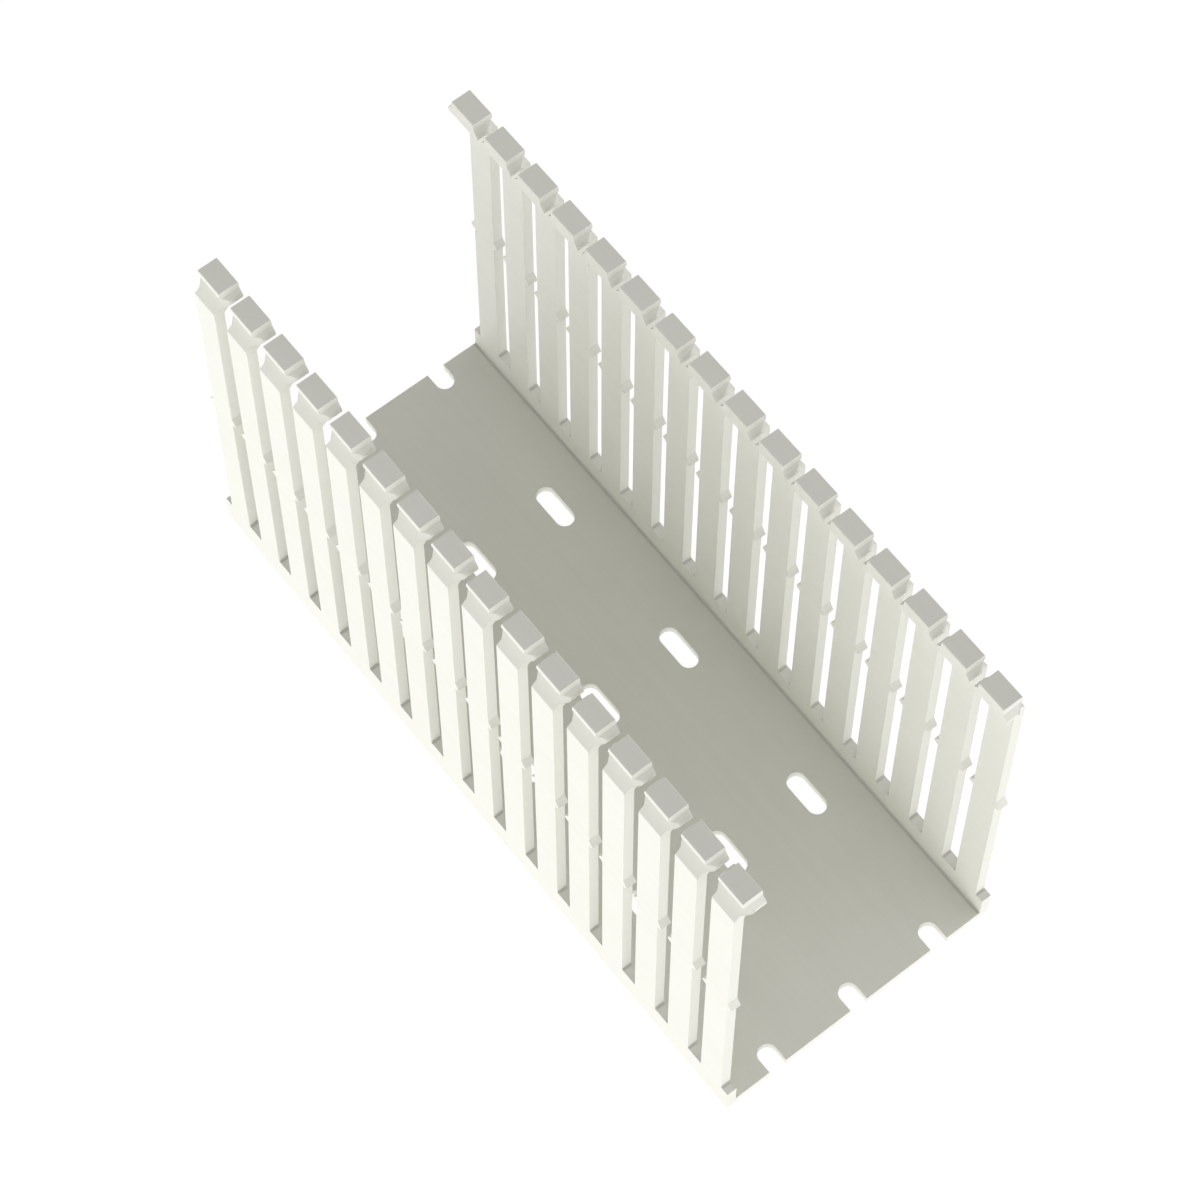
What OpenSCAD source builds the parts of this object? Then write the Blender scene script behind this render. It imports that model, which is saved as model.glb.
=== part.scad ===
// Slotted wire duct: an open channel with a row of fingers along each side.
// X runs along the duct, Y across it and Z up from the underside of its base.
// The origin is in the middle of the underside.

/* [Duct] */
// Number of fingers along each side
finger_count = 16; // [4:1:32]
// Distance from one finger to the next
finger_pitch = 12.7; // [12:0.1:16]
// Width over the two sides
duct_w = 82.6; // [60:0.2:160]
// Height from the underside to the tops of the fingers
duct_h = 127; // [80:1:160]
// Thickness of the base
base_t = 2.6; // [1.8:0.1:4]
// Thickness of the sides
wall_t = 2.8; // [2.2:0.1:4]
// Radius of the inner corners between the base and the sides
corner_r = 0.8; // [0.3:0.1:2]

/* [Slots between fingers] */
// Width of the slot between two fingers
slot_w = 5; // [4.4:0.1:6]
// Height of the slots' bottoms above the underside
slot_bottom = 10; // [6:0.5:20]
// Height of the nub tips above the underside
nub_z = 65.5; // [40:0.5:70]
// How far a nub narrows the slot from its side
nub_out = 1.5; // [0.5:0.1:1.6]
// Height of the slope on top of a nub
nub_slope_h = 2.3; // [1:0.1:4]
// Height of the taper under a nub
nub_under_h = 1; // [0.5:0.1:3]

/* [Finger heads] */
// Length of a finger's top along the duct
head_l = 8.2; // [7:0.1:9]
// Thickness of a finger's top across the duct
head_t = 5.6; // [4:0.1:8]
// Height of the sides of a finger's top
head_side_h = 2.2; // [1:0.1:3]
// How far those sides lean outward at their lower edge
head_flare = 0.2; // [0:0.1:0.3]
// Gap between two neighbouring heads where they are widest
mouth_gap = 1.5; // [1:0.1:3]
// Height of the slope from a head's side down to its barb
barb_slope_h = 1.6; // [1:0.1:3]
// Height of the upright edge of a barb
barb_edge_h = 1.1; // [0.5:0.1:2]
// Height of the taper under a barb
barb_under_h = 1.9; // [1:0.1:3]

/* [Cover rail] */
// Setback of the heads from the outer face of the side
rail_setback = 1.8; // [1.5:0.1:3]
// Height of the heads' outer faces
rail_face_h = 1.8; // [1:0.1:3]
// Drop from the finger tops to the outer shoulder
shoulder_drop = 8.3; // [7:0.1:12]
// Setback of the cover groove's bottom from the outer face of the side
groove_setback = 4.4; // [3:0.1:5]
// Drop from the finger tops to the cover groove's bottom
groove_drop = 3.9; // [3.2:0.1:5]
// Drop from the finger tops to the lower edge of the head's inner face
inner_lip_drop = 5; // [3:0.1:8]
// Drop from the finger tops to where the head's underside meets the side
underside_drop = 9.5; // [8.5:0.5:20]

/* [Mounting slots] */
// Number of finger pitches from one mounting slot to the next
mount_every = 4; // [2:1:8]
// Distance between the rows of mounting slots
mount_row_pitch = 25.4; // [15:0.1:26]
// Width of a mounting slot
mount_w = 5.2; // [4:0.1:7]
// Length of a mounting slot, end to end
mount_l = 13; // [10:0.5:20]

/* [Hidden] */
$fn = 48;
duct_l = finger_count * finger_pitch;
outer_y = duct_w / 2;
inner_y = outer_y - wall_t;
head_y = outer_y - rail_setback;
groove_y = outer_y - groove_setback;
shoulder_z = duct_h - shoulder_drop;
head_side_z = duct_h - head_side_h;
half_slot = slot_w / 2;
half_head_gap = (finger_pitch - head_l) / 2;
half_mouth = mouth_gap / 2;
barb_top_z = head_side_z - barb_slope_h;
barb_bottom_z = barb_top_z - barb_edge_h;
mount_rows = [-mount_row_pitch, 0, mount_row_pitch];
mount_pitch = mount_every * finger_pitch;
mounts_each_way = floor(finger_count / 2 / mount_every);
over = 1;

// Section of one side across the duct: y is the distance from the middle.
module side_section() {
    polygon([
        [inner_y, 0],
        [outer_y, 0],
        [outer_y, shoulder_z],
        [groove_y, duct_h - groove_drop],
        [head_y, duct_h - rail_face_h],
        [head_y, duct_h],
        [head_y - head_t, duct_h],
        [head_y - head_t, duct_h - inner_lip_drop],
        [inner_y, duct_h - underside_drop]
    ]);
}

// Small fillet where the base meets a side.
module corner_fillet() {
    difference() {
        translate([inner_y - corner_r, base_t - over])
            square([corner_r + over, corner_r + over]);
        translate([inner_y - corner_r, base_t + corner_r])
            circle(r = corner_r);
    }
}

// Section of the whole duct before its slots are cut.
module duct_section() {
    translate([-outer_y, 0])
        square([duct_w, base_t]);
    for (side = [0, 1])
        mirror([side, 0]) {
            side_section();
            corner_fillet();
        }
}

// Half of the space between two fingers: x is the distance from its middle.
module half_finger_gap() {
    polygon([
        [0, slot_bottom],
        [half_slot, slot_bottom],
        [half_slot, nub_z - nub_under_h],
        [half_slot - nub_out, nub_z],
        [half_slot, nub_z + nub_slope_h],
        [half_slot, barb_bottom_z - barb_under_h],
        [half_mouth, barb_bottom_z],
        [half_mouth, barb_top_z],
        [half_head_gap - head_flare, head_side_z],
        [half_head_gap, duct_h],
        [half_head_gap, duct_h + over],
        [0, duct_h + over]
    ]);
}

// Cutter for the space between two fingers, through both sides.
module finger_gap() {
    rotate([90, 0, 0])
        linear_extrude(height = duct_w + 2 * over, center = true)
            union() {
                half_finger_gap();
                mirror([1, 0])
                    half_finger_gap();
            }
}

// Oblong hole with round ends, cut down through the base.
module mounting_slot() {
    straight = mount_l - mount_w;
    translate([0, 0, -over])
        linear_extrude(height = base_t + 2 * over)
            union() {
                square([straight, mount_w], center = true);
                for (end = [-1, 1])
                    translate([end * straight / 2, 0])
                        circle(d = mount_w);
            }
}

module duct_channel() {
    color("#e9e9df")
        difference() {
            rotate([90, 0, 90])
                linear_extrude(height = duct_l, center = true)
                    duct_section();
            for (gap = [0 : finger_count])
                translate([(gap - finger_count / 2) * finger_pitch, 0, 0])
                    finger_gap();
            for (place = [-mounts_each_way : mounts_each_way], row = mount_rows)
                translate([place * mount_pitch, row, 0])
                    mounting_slot();
        }
}

duct_channel();
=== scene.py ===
"""Slotted wire duct in rigid PVC, rebuilt with rounded and punched edges around its CAD frame."""
import math

import bmesh
import bpy
from mathutils import Matrix, Vector


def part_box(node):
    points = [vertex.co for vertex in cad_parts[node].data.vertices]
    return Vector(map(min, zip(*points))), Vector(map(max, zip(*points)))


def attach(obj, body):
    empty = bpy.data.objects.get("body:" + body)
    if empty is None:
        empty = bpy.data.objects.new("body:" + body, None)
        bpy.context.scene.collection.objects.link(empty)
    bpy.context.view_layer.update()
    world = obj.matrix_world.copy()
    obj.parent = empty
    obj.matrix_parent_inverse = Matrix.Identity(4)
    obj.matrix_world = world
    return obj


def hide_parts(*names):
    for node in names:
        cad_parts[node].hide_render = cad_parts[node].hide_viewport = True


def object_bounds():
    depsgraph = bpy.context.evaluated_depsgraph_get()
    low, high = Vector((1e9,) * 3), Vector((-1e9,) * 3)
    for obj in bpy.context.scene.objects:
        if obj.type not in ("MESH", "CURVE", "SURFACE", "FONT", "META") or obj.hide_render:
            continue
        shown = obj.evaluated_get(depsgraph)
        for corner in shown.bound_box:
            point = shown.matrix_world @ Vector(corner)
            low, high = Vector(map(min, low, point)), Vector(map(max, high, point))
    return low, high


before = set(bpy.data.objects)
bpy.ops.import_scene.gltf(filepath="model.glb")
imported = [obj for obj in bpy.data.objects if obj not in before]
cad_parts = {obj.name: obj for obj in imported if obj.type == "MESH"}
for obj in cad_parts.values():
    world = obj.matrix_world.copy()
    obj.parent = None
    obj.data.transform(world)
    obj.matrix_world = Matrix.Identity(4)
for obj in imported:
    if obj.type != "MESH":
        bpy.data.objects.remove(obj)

cad_lo, cad_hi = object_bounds()

# ---------------------------------------------------------------- sizes, in metres
MM = 0.001
NODE = "duct_channel"
duct_lo, duct_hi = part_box(NODE)
LENGTH = duct_hi.x - duct_lo.x
WIDTH = duct_hi.y - duct_lo.y
HEIGHT = duct_hi.z - duct_lo.z

PITCH = 12.7 * MM            # from one finger to the next
BASE_T = 2.6 * MM            # thickness of the base
WALL_T = 2.8 * MM            # thickness of the sides
CORNER_R = 0.3 * MM          # fillet between the base and a side

SLOT_W = 5.0 * MM            # slot between two fingers
SLOT_BOTTOM = 10.0 * MM
NUB_Z = 65.5 * MM            # nubs half way up the slots
NUB_OUT = 1.5 * MM
NUB_SLOPE_H = 2.3 * MM
NUB_UNDER_H = 1.0 * MM

HEAD_L = 8.2 * MM            # finger heads
HEAD_T = 5.6 * MM
HEAD_SIDE_H = 2.2 * MM
HEAD_FLARE = 0.2 * MM
MOUTH_GAP = 1.5 * MM         # gap between the barbs of two heads
BARB_SLOPE_H = 1.6 * MM
BARB_EDGE_H = 1.1 * MM
BARB_UNDER_H = 1.9 * MM

RAIL_SETBACK = 1.8 * MM      # section of a head, across the duct
RAIL_FACE_H = 1.8 * MM
SHOULDER_DROP = 8.3 * MM
GROOVE_SETBACK = 4.4 * MM
GROOVE_DROP = 3.9 * MM
INNER_LIP_DROP = 5.0 * MM
UNDERSIDE_DROP = 9.5 * MM

MOUNT_EVERY = 4              # finger pitches between mounting slots
MOUNT_ROW_PITCH = 25.4 * MM
MOUNT_W = 5.2 * MM
MOUNT_L = 13.0 * MM

EDGE_R = 0.35 * MM           # edges left round by the extrusion die
INNER_EDGE_R = 0.25 * MM     # inside corners of the die
PUNCH_R = 0.25 * MM          # corners of the punched slots
BREAK = 0.12 * MM            # edges that the punch leaves
BREAK_SEGMENTS = 2
BREAK_ANGLE = 30             # degrees: edges that turn more than this are broken
ARC_STEPS = 4                # straight pieces in a rounded corner
END_STEPS = 20               # straight pieces in the round end of a mounting slot
ARC_REACH = 0.48             # most of an outline's side that one corner may take
FLAT_WEIGHT = 80             # how strongly large faces set the normals at their edges
OVER = 2.0 * MM              # how far a cutter runs past what it cuts
PUNCHED = "punched"          # face attribute: 1 where a punch cut the plastic

OUTER_Y = WIDTH / 2
INNER_Y = OUTER_Y - WALL_T
HEAD_Y = OUTER_Y - RAIL_SETBACK
GAPS = round(LENGTH / PITCH)

# ---------------------------------------------------------------- the look of the plastic
PVC_TONES = ((0.722, 0.722, 0.657, 1), (0.752, 0.752, 0.685, 1))
TONE_RANGE = (0.34, 0.66)    # the part of the pattern that runs from one tone to the other
CLOUD_SHARE, FLOW_SHARE = 0.55, 0.45
SHEARED_TONE = (0.702, 0.702, 0.642, 1)
SHEARED_SHARE = 0.6          # how far a punched face goes toward that tone
PAINTED_SHADE_REACH = 1.0 * MM      # how far the painted shade, a dark line in an inside corner, spreads
PAINTED_SHADE_SAMPLES = 8
PVC_IOR = 1.53

# Patterns, in cycles per metre along X, Y and Z.
CLOUDS = (38, 70, 52)
FLOW = (5, 420, 420)         # streaks of resin, drawn out along the duct
DIE_LINES = (9, 1500, 1500)
DRAG_MARKS = (1900, 90, 1900)
GRAIN = (5200, 5200, 5200)
WAVES = (60, 110, 80)
SCUFFS = (150, 260, 170)

# Heights of the relief that they give.
DIE_LINE_H = 0.010 * MM
DRAG_MARK_H = 0.024 * MM
GRAIN_H = 0.004 * MM
WAVE_H = 0.040 * MM

# Roughness, and what each pattern adds to it.
SMOOTHEST = 0.37
SCUFF_ROUGHNESS = 0.16
PUNCHED_ROUGHNESS = 0.12
GRAIN_ROUGHNESS = 0.06

# ---------------------------------------------------------------- stage, light and camera
# Soft light by the direction that it comes from: azimuth from +X, elevation, sharpness, strength.
SOFT_LIGHTS = (
    (-45, 0, 3, 1.75),       # broad and level, from the camera's side
    (45, 0, 3, 1.70),        # level, from behind the right row
    (135, 0, 3, 0.60),       # level, from behind the far end
    (-135, 0, 3, 1.60),      # level, from behind the left row
    (-45, -35, 4, 0.70),     # light off a white sweep, on the camera's side
    (-90, -35, 4, 0.50),     # and beside the left row
    (90, 40, 6, 1.00),       # raised, behind the right row
)
SWEEP_LIGHT = 0.15           # from everywhere below the horizon
WHITE = (1, 1, 1, 1)

FLOOR_R = 4.0
FLOOR_SEGMENTS = 96
FLOOR_GAP = 0.02 * MM        # between the floor and the underside
FLOOR_PAINT = (0.80, 0.80, 0.79, 1)
FLOOR_GLOW = 0.93            # how bright the floor looks, which is nearly white
FLOOR_SHADE = (0.15, 0.15, 0.15, 1)     # paint over the glow, which takes the duct's shadow

CAMERA_AZIMUTH = 51.77       # degrees, from -Y toward +X
CAMERA_ELEVATION = 64.51
CAMERA_DISTANCE = 0.992      # from the middle of the CAD box
LENS, SENSOR = 125.1, 36     # in millimetres
CLIP_START, CLIP_END = 0.05, 20


# ---------------------------------------------------------------- mesh helpers
def arc_corner(before, corner, after, radius):
    """Points of the arc that rounds one corner of an outline."""
    to_before, to_after = (before - corner), (after - corner)
    reach = min(to_before.length, to_after.length) * ARC_REACH
    to_before.normalize()
    to_after.normalize()
    half = to_before.angle(to_after) / 2
    back = min(radius / math.tan(half), reach)
    start, end = corner + to_before * back, corner + to_after * back
    centre = corner + (to_before + to_after).normalized() * back / math.cos(half)
    first, last = start - centre, end - centre
    sweep = first.angle_signed(last)
    turned = []
    for step in range(ARC_STEPS + 1):
        turn = -sweep * step / ARC_STEPS
        turned.append(centre + Matrix.Rotation(turn, 2) @ first)
    return turned


def rounded(outline):
    """An outline of (u, v, corner radius) with its corners turned into arcs."""
    points = []
    for i, (u, v, radius) in enumerate(outline):
        here = Vector((u, v))
        if radius <= 0:
            points.append(here)
            continue
        before = Vector(outline[i - 1][:2])
        after = Vector(outline[(i + 1) % len(outline)][:2])
        points += arc_corner(before, here, after, radius)
    return points


def prism(bm, outline, place, thickness):
    """A prism in bm: place turns (u, v, w) into a point, w from 0 to thickness."""
    rings = [[bm.verts.new(place(p.x, p.y, w)) for p in outline] for w in (0, thickness)]
    count = len(outline)
    bm.faces.new(rings[0])
    bm.faces.new(rings[1][::-1])
    for i in range(count):
        j = (i + 1) % count
        bm.faces.new((rings[0][j], rings[0][i], rings[1][i], rings[1][j]))


def mesh_object(name, bm):
    """A new object in the scene that takes its mesh from bm."""
    bmesh.ops.recalc_face_normals(bm, faces=bm.faces)
    mesh = bpy.data.meshes.new(name)
    bm.to_mesh(mesh)
    bm.free()
    obj = bpy.data.objects.new(name, mesh)
    bpy.context.scene.collection.objects.link(obj)
    return obj


def apply_modifiers(obj):
    """Make what an object's modifiers give its own mesh."""
    depsgraph = bpy.context.evaluated_depsgraph_get()
    done = bpy.data.meshes.new_from_object(obj.evaluated_get(depsgraph))
    obj.modifiers.clear()
    obj.data = done


# ---------------------------------------------------------------- the duct
def section():
    """The extruded section, (y, z), from the middle of the underside round to it again."""
    inner_top = HEAD_Y - HEAD_T
    side = [
        (OUTER_Y, 0, EDGE_R),
        (OUTER_Y, HEIGHT - SHOULDER_DROP, EDGE_R),
        (OUTER_Y - GROOVE_SETBACK, HEIGHT - GROOVE_DROP, INNER_EDGE_R),
        (HEAD_Y, HEIGHT - RAIL_FACE_H, INNER_EDGE_R),
        (HEAD_Y, HEIGHT, EDGE_R),
        (inner_top, HEIGHT, EDGE_R),
        (inner_top, HEIGHT - INNER_LIP_DROP, EDGE_R),
        (INNER_Y, HEIGHT - UNDERSIDE_DROP, 2 * EDGE_R),
        (INNER_Y, BASE_T, CORNER_R),
    ]
    return rounded(side + [(-y, z, r) for y, z, r in reversed(side)])


def finger_gap():
    """The punched space between two fingers, (x, z), about its middle."""
    half_slot, half_mouth = SLOT_W / 2, MOUTH_GAP / 2
    half_head = (PITCH - HEAD_L) / 2
    head_side_z = HEIGHT - HEAD_SIDE_H
    barb_top_z = head_side_z - BARB_SLOPE_H
    barb_bottom_z = barb_top_z - BARB_EDGE_H
    side = [
        (half_slot, SLOT_BOTTOM, PUNCH_R),
        (half_slot, NUB_Z - NUB_UNDER_H, PUNCH_R),
        (half_slot - NUB_OUT, NUB_Z, PUNCH_R),
        (half_slot, NUB_Z + NUB_SLOPE_H, PUNCH_R),
        (half_slot, barb_bottom_z - BARB_UNDER_H, PUNCH_R),
        (half_mouth, barb_bottom_z, PUNCH_R),
        (half_mouth, barb_top_z, PUNCH_R),
        (half_head - HEAD_FLARE, head_side_z, PUNCH_R),
        (half_head, HEIGHT, 0),
        (half_head, HEIGHT + OVER, 0),
    ]
    return rounded(side + [(-x, z, r) for x, z, r in reversed(side)])


def mounting_slot():
    """The oblong hole in the base, (x, y), about its middle."""
    straight, radius = (MOUNT_L - MOUNT_W) / 2, MOUNT_W / 2
    points = []
    for side, first in ((1, -90), (-1, 90)):
        for step in range(END_STEPS + 1):
            angle = math.radians(first + 180 * step / END_STEPS)
            x = side * straight + radius * math.cos(angle)
            points.append(Vector((x, radius * math.sin(angle))))
    return points


def punches():
    """One object with a cutter for each gap between fingers and each mounting slot."""
    bm = bmesh.new()
    gap_outline, slot_outline = finger_gap(), mounting_slot()
    across = WIDTH + 2 * OVER
    for gap in range(GAPS + 1):
        mid = gap * PITCH - LENGTH / 2
        prism(bm, gap_outline, lambda x, z, w, mid=mid: (mid + x, w - across / 2, z), across)
        if (gap - GAPS // 2) % MOUNT_EVERY:
            continue
        for row in (-1, 0, 1):
            prism(
                bm, slot_outline,
                lambda x, y, w, mid=mid, row=row: (mid + x, row * MOUNT_ROW_PITCH + y, w - OVER),
                BASE_T + 2 * OVER,
            )
    return mesh_object("punches", bm)


def build_duct():
    """The extruded duct, punched, with its cut edges broken."""
    bm = bmesh.new()
    prism(bm, section(), lambda y, z, w: (w - LENGTH / 2, y, z), LENGTH)
    duct = mesh_object("duct_body", bm)
    cutters = punches()
    for body, mark in ((duct, 0.0), (cutters, 1.0)):
        layer = body.data.attributes.new(PUNCHED, "FLOAT", "FACE")
        layer.data.foreach_set("value", [mark] * len(body.data.polygons))

    cut = duct.modifiers.new("punched", "BOOLEAN")
    cut.operation, cut.solver, cut.object = "DIFFERENCE", "EXACT", cutters
    apply_modifiers(duct)
    bpy.data.objects.remove(cutters)

    soften = duct.modifiers.new("broken edges", "BEVEL")
    soften.width, soften.segments = BREAK, BREAK_SEGMENTS
    soften.limit_method, soften.angle_limit = "ANGLE", math.radians(BREAK_ANGLE)
    soften.use_clamp_overlap = True
    soften.miter_outer = "MITER_ARC"
    apply_modifiers(duct)

    for polygon in duct.data.polygons:
        polygon.use_smooth = True
    weighted = duct.modifiers.new("flat faces stay flat", "WEIGHTED_NORMAL")
    weighted.keep_sharp = False
    weighted.weight = FLAT_WEIGHT
    apply_modifiers(duct)
    return duct


# ---------------------------------------------------------------- node helpers
def feed(tree, socket, value):
    """Link a socket's value into an input, or write a plain value there."""
    if isinstance(value, bpy.types.NodeSocket):
        tree.links.new(value, socket)
    else:
        socket.default_value = value


def add_node(tree, kind, *values, **settings):
    """A node: values fill its inputs in order, and settings name inputs or options."""
    made = tree.nodes.new(kind)
    for name, value in settings.items():
        socket = made.inputs.get(name.replace("_", " "))
        if socket is None:
            setattr(made, name, value)
        else:
            feed(tree, socket, value)
    for socket, value in zip(made.inputs, values):
        feed(tree, socket, value)
    return made


def combine(tree, operation, *values):
    """The result of one calculation on numbers or sockets."""
    return add_node(tree, "ShaderNodeMath", *values, operation=operation).outputs[0]


def blend(tree, factor, low, high):
    """A colour between two colours, low at factor 0 and high at 1."""
    made = add_node(tree, "ShaderNodeMix", data_type="RGBA")
    for socket, value in ((0, factor), (6, low), (7, high)):    # its sockets for colours
        feed(tree, made.inputs[socket], value)
    return made.outputs[2]


def noise(tree, place, scale, detail=2.0, roughness=0.5):
    """A noise from 0 to 1 with its own scale along each axis, in cycles per metre."""
    stretched = add_node(tree, "ShaderNodeMapping", Vector=place, Scale=scale)
    made = add_node(
        tree, "ShaderNodeTexNoise", Vector=stretched.outputs[0],
        Scale=1.0, Detail=detail, Roughness=roughness,
    )
    return made.outputs["Fac"]


# ---------------------------------------------------------------- material
def pvc():
    """Extruded rigid PVC: die lines along X, and drag marks along Y where it was punched."""
    material = bpy.data.materials.new("rigid_pvc")
    material.use_nodes = True
    tree = material.node_tree
    shader = tree.nodes["Principled BSDF"]
    place = tree.nodes.new("ShaderNodeTexCoord").outputs["Object"]
    punched = add_node(tree, "ShaderNodeAttribute", attribute_name=PUNCHED).outputs["Fac"]

    clouds = noise(tree, place, CLOUDS, detail=4.0, roughness=0.6)
    flow = noise(tree, place, FLOW, detail=3.0, roughness=0.6)
    tone = combine(tree, "MULTIPLY", clouds, CLOUD_SHARE)
    tone = combine(tree, "MULTIPLY_ADD", flow, FLOW_SHARE, tone)
    tone = add_node(
        tree, "ShaderNodeMapRange", Value=tone,
        From_Min=TONE_RANGE[0], From_Max=TONE_RANGE[1], To_Min=0.0, To_Max=1.0,
    ).outputs[0]
    resin = blend(tree, tone, *PVC_TONES)
    sheared = combine(tree, "MULTIPLY", punched, SHEARED_SHARE)
    # Painted shade: an ambient occlusion node darkens the base colour in tight inside corners,
    # standing in for shade there.
    painted_crease_shade = add_node(
        tree, "ShaderNodeAmbientOcclusion", samples=PAINTED_SHADE_SAMPLES,
        Color=blend(tree, sheared, resin, SHEARED_TONE), Distance=PAINTED_SHADE_REACH,
    )
    feed(tree, shader.inputs["Base Color"], painted_crease_shade.outputs["Color"])

    die_lines = noise(tree, place, DIE_LINES, detail=3.0, roughness=0.65)
    drag_marks = noise(tree, place, DRAG_MARKS, detail=3.0, roughness=0.65)
    grain = noise(tree, place, GRAIN)
    waves = noise(tree, place, WAVES)
    scuffs = noise(tree, place, SCUFFS, detail=5.0, roughness=0.7)

    rough = SMOOTHEST
    for pattern, share in (
        (scuffs, SCUFF_ROUGHNESS), (punched, PUNCHED_ROUGHNESS), (grain, GRAIN_ROUGHNESS),
    ):
        rough = combine(tree, "MULTIPLY_ADD", pattern, share, rough)
    feed(tree, shader.inputs["Roughness"], rough)

    die_line_h = combine(tree, "MULTIPLY", combine(tree, "SUBTRACT", 1.0, punched), DIE_LINE_H)
    height = combine(tree, "MULTIPLY", die_lines, die_line_h)
    drag_mark_h = combine(tree, "MULTIPLY", punched, DRAG_MARK_H)
    for pattern, relief in ((drag_marks, drag_mark_h), (grain, GRAIN_H), (waves, WAVE_H)):
        height = combine(tree, "MULTIPLY_ADD", pattern, relief, height)
    bump = add_node(tree, "ShaderNodeBump", Strength=1.0, Distance=1.0, Height=height)
    feed(tree, shader.inputs["Normal"], bump.outputs[0])
    shader.inputs["IOR"].default_value = PVC_IOR
    return material


duct = build_duct()
duct.data.materials.clear()
duct.data.materials.append(pvc())
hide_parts(NODE)
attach(duct, "root")


# ---------------------------------------------------------------- stage, light, camera
def toward(azimuth, elevation):
    """A unit vector, from angles in degrees: azimuth from +X, elevation from level."""
    around, up = math.radians(azimuth), math.radians(elevation)
    return Vector((math.cos(around) * math.cos(up), math.sin(around) * math.cos(up), math.sin(up)))


def facing(tree, direction, axis):
    """How far a direction agrees with an axis: 1 along it, 0 at a right angle or beyond."""
    made = add_node(tree, "ShaderNodeVectorMath", direction, axis, operation="DOT_PRODUCT")
    return combine(tree, "MAXIMUM", made.outputs["Value"], 0.0)


def seen_directly(tree):
    """1 for what the camera, glass or a glossy surface sees, and 0 for the rest."""
    rays = tree.nodes.new("ShaderNodeLightPath").outputs
    seen = combine(tree, "MAXIMUM", rays["Is Camera Ray"], rays["Is Glossy Ray"])
    return combine(tree, "MAXIMUM", seen, rays["Is Transmission Ray"])


def studio_world():
    """Soft light by direction, behind a backdrop that is seen as white."""
    world = bpy.data.worlds.new("studio")
    world.use_nodes = True
    tree = world.node_tree
    tree.nodes.clear()
    direction = tree.nodes.new("ShaderNodeTexCoord").outputs["Generated"]

    below = combine(tree, "GREATER_THAN", facing(tree, direction, (0, 0, -1)), 0.0)
    level = combine(tree, "MULTIPLY", below, SWEEP_LIGHT)
    for azimuth, elevation, sharpness, strength in SOFT_LIGHTS:
        lobe = facing(tree, direction, toward(azimuth, elevation))
        lobe = combine(tree, "POWER", lobe, sharpness)
        level = combine(tree, "MULTIPLY_ADD", lobe, strength, level)
    light = add_node(tree, "ShaderNodeBackground", Color=WHITE, Strength=level)
    backdrop = add_node(tree, "ShaderNodeBackground", Color=WHITE)
    mix = add_node(
        tree, "ShaderNodeMixShader", seen_directly(tree), light.outputs[0], backdrop.outputs[0],
    )
    add_node(tree, "ShaderNodeOutputWorld", Surface=mix.outputs[0])
    return world


def floor_material():
    """Pale paint, seen as nearly white with the duct's shadow on it."""
    material = bpy.data.materials.new("white_floor")
    material.use_nodes = True
    tree = material.node_tree
    tree.nodes.clear()
    paint = add_node(tree, "ShaderNodeBsdfDiffuse", Color=FLOOR_PAINT)
    shaded = add_node(tree, "ShaderNodeBsdfDiffuse", Color=FLOOR_SHADE)
    glow = add_node(tree, "ShaderNodeEmission", Strength=FLOOR_GLOW)
    both = add_node(tree, "ShaderNodeAddShader", glow.outputs[0], shaded.outputs[0])
    mix = add_node(
        tree, "ShaderNodeMixShader", seen_directly(tree), paint.outputs[0], both.outputs[0],
    )
    add_node(tree, "ShaderNodeOutputMaterial", Surface=mix.outputs[0])
    return material


bpy.context.scene.world = studio_world()

bm = bmesh.new()
bmesh.ops.create_circle(bm, cap_ends=True, segments=FLOOR_SEGMENTS, radius=FLOOR_R)
floor = mesh_object("studio_floor", bm)
floor.location.z = duct_lo.z - FLOOR_GAP
floor.data.materials.append(floor_material())
# The floor neither lights the duct nor shades it: the light off the sweep stands in for both.
floor.visible_diffuse = False
floor.visible_shadow = False

camera_data = bpy.data.cameras.new("camera")
camera_data.sensor_width, camera_data.lens = SENSOR, LENS
camera_data.clip_start, camera_data.clip_end = CLIP_START, CLIP_END
camera = bpy.data.objects.new("camera", camera_data)
bpy.context.scene.collection.objects.link(camera)
back = toward(CAMERA_AZIMUTH - 90, CAMERA_ELEVATION)
camera.location = (cad_lo + cad_hi) / 2 + back * CAMERA_DISTANCE
camera.rotation_euler = back.to_track_quat("Z", "Y").to_euler()
bpy.context.scene.camera = camera
bpy.context.scene.view_settings.view_transform = "Standard"

bpy.context.view_layer.update()
